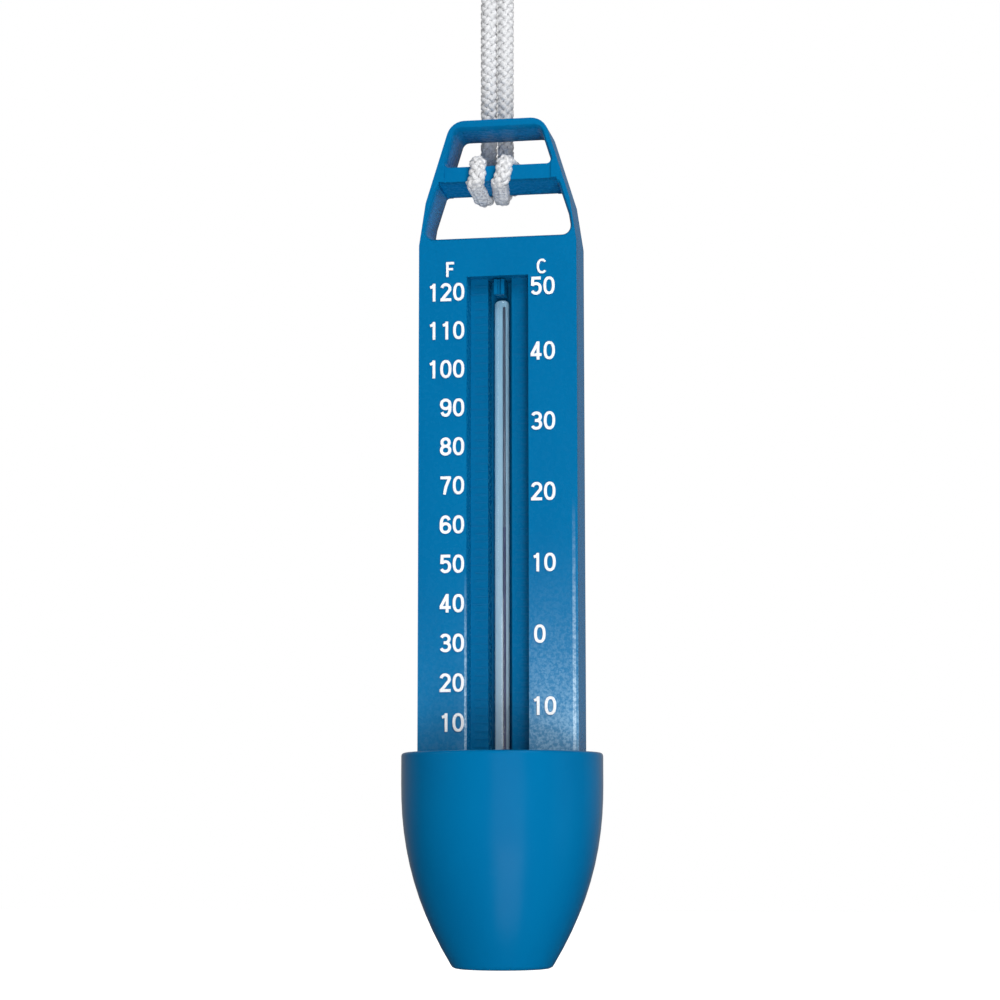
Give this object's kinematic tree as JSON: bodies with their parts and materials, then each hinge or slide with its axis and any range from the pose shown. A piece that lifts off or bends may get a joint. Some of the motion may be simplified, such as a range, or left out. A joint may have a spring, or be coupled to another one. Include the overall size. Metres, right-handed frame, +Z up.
{
  "type": "floating pool thermometer",
  "caption": "Floating spirit thermometer with a scale plate, handle hoop, water cup round its bulb and a looped hanging cord.",
  "frame": {"origin": "centre of the crossbar under the handle's hoop, where the cord is hitched and holds the thermometer up", "axes": "+Z up along the plate, towards the knot; the scale faces -Y; +X to the reader's right"},
  "size_m": [0.0542, 0.0542, 0.3013],
  "materials": {
    "casing": "fine-grained satin moulding",
    "cup_plastic": "smooth satin gloss",
    "clip_plastic": "plain moulded",
    "seal_rubber": "matt",
    "screw_steel": "stainless",
    "ballast_steel": "plated",
    "float_foam": "closed-cell foam",
    "tube_glass": "clear with a pale enamel back",
    "spirit": "dyed liquid",
    "cord": "braided polypropylene"
  },
  "bodies": {
    "root": {"scale_body": "casing", "rear_cover": "casing", "cover_gasket": "seal_rubber", "cover_screw_1": "screw_steel", "cover_screw_2": "screw_steel", "cover_screw_3": "screw_steel", "cover_screw_4": "screw_steel", "float_left": "float_foam", "float_right": "float_foam", "cup": "cup_plastic", "ballast_disc": "ballast_steel", "ballast_cap": "cup_plastic", "cup_screw": "screw_steel", "screw_seal": "seal_rubber", "glass_tube": "tube_glass", "spirit_fill": "spirit", "spirit_column": "spirit", "top_clip": "casing", "lower_clip": "clip_plastic", "cord_left": "cord", "cord_right": "cord", "cord_knot": "cord"},
    "spirit_level": {"spirit_meniscus": "spirit"}
  },
  "joints": [
    {"name": "spirit_rise", "type": "slide", "parent": "root", "child": "spirit_level", "axis": [0, 0, 1], "range_m": [-0.05325, 0.058], "deforming": ["spirit_column"]}
  ]
}
